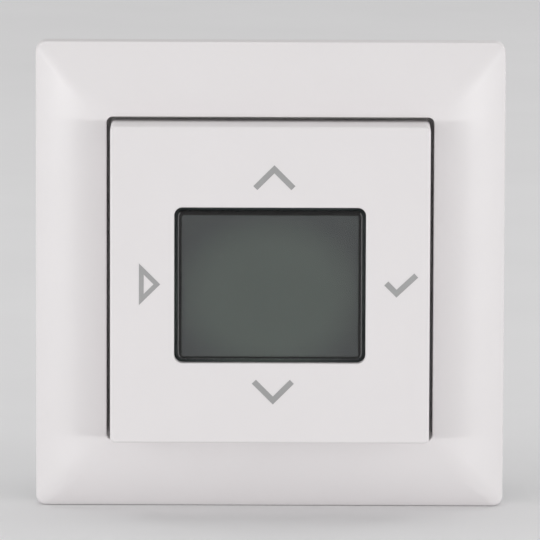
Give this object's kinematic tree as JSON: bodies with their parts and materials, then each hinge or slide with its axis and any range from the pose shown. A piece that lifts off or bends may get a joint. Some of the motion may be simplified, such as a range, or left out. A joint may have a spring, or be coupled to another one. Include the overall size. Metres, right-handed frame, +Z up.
{
  "type": "flush wall thermostat",
  "caption": "Flush-mounted room thermostat: square cover frame, raised four-way rocker key plate around a dark display window, steel mounting plate and round-box rear housing.",
  "frame": {"origin": "centre of the mounting plate's back face, in the wall plane, midway between the two box-screw slots", "axes": "+Z up, -Y out of the wall into the room (the front), +X to the right when looking at the front"},
  "size_m": [0.0808, 0.0425, 0.0808],
  "materials": {
    "cover_white": "gloss white thermoplastic",
    "key_white": "gloss white thermoplastic",
    "print_grey": "pad-printed grey ink",
    "lens_clear": "clear acrylic window, gloss",
    "mask_black": "black printed film",
    "lcd_grey": "grey-green liquid crystal display, switched off",
    "film_silver": "silvered film",
    "guide_clear": "milky acrylic",
    "rubber_grey": "layered conductive rubber",
    "led_yellow": "phosphor-filled resin",
    "holder_black": "moulded matt",
    "ring_natural": "moulded acetal, satin",
    "pin_steel": "ground steel",
    "board_green": "solder-masked laminate",
    "switch_black": "moulded matt",
    "switch_steel": "stamped steel",
    "stem_grey": "moulded acetal",
    "chip_black": "epoxy, lightly textured",
    "can_steel": "nickel-plated can",
    "sensor_glass": "glass bead thermistor",
    "connector_black": "moulded matt",
    "contact_gold": "gold-flashed brass",
    "carrier_white": "moulded satin",
    "screw_steel": "zinc-plated steel",
    "plate_steel": "galvanised sheet",
    "spring_steel": "spring steel",
    "housing_grey": "flame-retardant thermoplastic, fine texture",
    "relay_black": "moulded case",
    "box_yellow": "potted box",
    "can_sleeve": "shrink sleeve over aluminium",
    "varistor_blue": "dipped epoxy",
    "fuse_brown": "moulded cap",
    "block_grey": "polyamide",
    "clamp_brass": "nickel-free brass",
    "tail_tin": "tinned strip",
    "clamp_screw": "yellow-passivated steel"
  },
  "bodies": {
    "wall_part": {"mounting_plate": "plate_steel", "retaining_springs": "spring_steel", "rear_housing": "housing_grey", "housing_lid": "housing_grey", "power_board": "board_green", "plug_socket": "connector_black", "relay": "relay_black", "mains_capacitor": "box_yellow", "smoothing_capacitor": "can_sleeve", "varistor": "varistor_blue", "mains_fuse": "fuse_brown", "bridge_rectifier": "chip_black", "terminal_block": "block_grey", "terminal_cages": "clamp_brass", "terminal_tails": "tail_tin", "terminal_screws": "clamp_screw", "housing_screws": "screw_steel"},
    "front_unit": {"cover_frame": "cover_white", "display_lens": "lens_clear", "display_mask": "mask_black", "lcd_cell": "lcd_grey", "reflector_film": "film_silver", "light_guide": "guide_clear", "contact_strip": "rubber_grey", "backlight_leds": "led_yellow", "display_holder": "holder_black", "control_board": "board_green", "key_switch_bodies": "switch_black", "key_switch_covers": "switch_steel", "microcontroller": "chip_black", "backup_capacitor": "can_steel", "room_sensor": "sensor_glass", "plug_header": "connector_black", "plug_pins": "contact_gold", "front_carrier": "carrier_white", "carrier_screws": "screw_steel"},
    "ring": {"tilt_ring": "ring_natural", "tilt_pins_across": "pin_steel", "tilt_pins_upright": "pin_steel"},
    "key": {"key_plate": "key_white", "key_symbols": "print_grey"},
    "stem_up": {"plunger_up": "stem_grey"},
    "stem_down": {"plunger_down": "stem_grey"},
    "stem_left": {"plunger_left": "stem_grey"},
    "stem_right": {"plunger_right": "stem_grey"}
  },
  "joints": [
    {"name": "front_pull", "type": "slide", "parent": "wall_part", "child": "front_unit", "axis": [0, -1, 0], "range_m": [0, 0.05]},
    {"name": "tilt_up_down", "type": "hinge", "parent": "front_unit", "child": "ring", "pos_m": [0, -0.013, 0], "axis": [1, 0, 0], "range_deg": [-0.65, 0.65], "stiffness_Nm_per_rad": 2},
    {"name": "tilt_left_right", "type": "hinge", "parent": "ring", "child": "key", "pos_m": [0, -0.013, 0], "axis": [0, 0, 1], "range_deg": [-0.65, 0.65], "stiffness_Nm_per_rad": 2},
    {"name": "press_up", "type": "slide", "parent": "front_unit", "child": "stem_up", "axis": [0, 1, 0], "range_m": [-0.00027, 0.00027]},
    {"name": "press_down", "type": "slide", "parent": "front_unit", "child": "stem_down", "axis": [0, 1, 0], "range_m": [-0.00027, 0.00027]},
    {"name": "press_left", "type": "slide", "parent": "front_unit", "child": "stem_left", "axis": [0, 1, 0], "range_m": [-0.00027, 0.00027]},
    {"name": "press_right", "type": "slide", "parent": "front_unit", "child": "stem_right", "axis": [0, 1, 0], "range_m": [-0.00027, 0.00027]}
  ],
  "couplings": [
    {"joint": "press_up", "follows": "tilt_up_down", "m_per_rad": -0.023},
    {"joint": "press_down", "follows": "tilt_up_down", "m_per_rad": 0.023},
    {"joint": "press_left", "follows": "tilt_left_right", "m_per_rad": -0.023},
    {"joint": "press_right", "follows": "tilt_left_right", "m_per_rad": 0.023}
  ]
}
